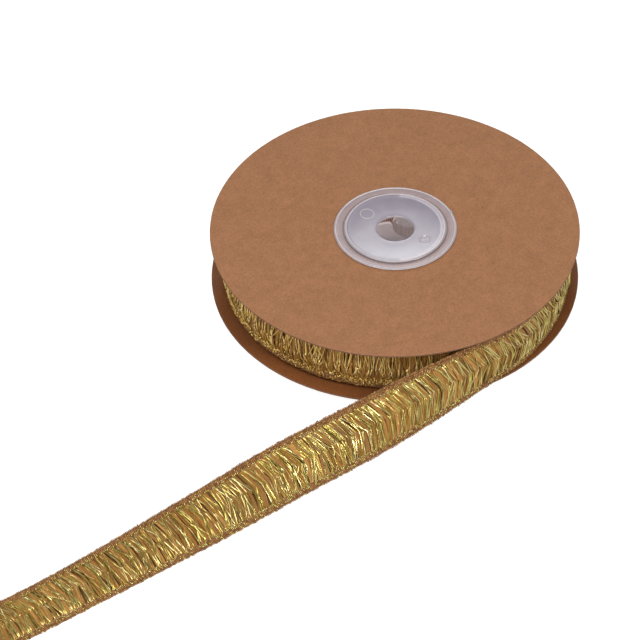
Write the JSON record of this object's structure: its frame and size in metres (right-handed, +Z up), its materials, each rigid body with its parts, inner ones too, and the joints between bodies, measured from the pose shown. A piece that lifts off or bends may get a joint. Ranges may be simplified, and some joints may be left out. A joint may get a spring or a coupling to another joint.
{
  "type": "metallic floated-fringe trim wound on a card reel",
  "caption": "Gold and brown woven fringe trim wound on a flat kraft card reel with a plastic hub; its loose end runs out to the side and twists from on edge to flat.",
  "frame": {"origin": "on the surface that the reel lies on, under the middle of the whole part's box", "axes": "+Z up along the reel's axis, -X the way the loose end runs away from the reel, +Y from the loose end towards the reel"},
  "size_m": [0.227, 0.1076, 0.0196],
  "materials": {
    "kraft_card": "plain uncoated kraft card, matt, finely fibrous",
    "hub_plastic": "milky translucent polypropylene, as moulded",
    "lurex_trim": "gold lurex strips and brown rayon strands floated between woven brown selvedges"
  },
  "bodies": {
    "root": {"card_lower": "kraft_card", "card_upper": "kraft_card", "hub_lower": "hub_plastic", "hub_upper": "hub_plastic", "trim_winding": "lurex_trim", "trim_end": "lurex_trim"}
  },
  "joints": []
}
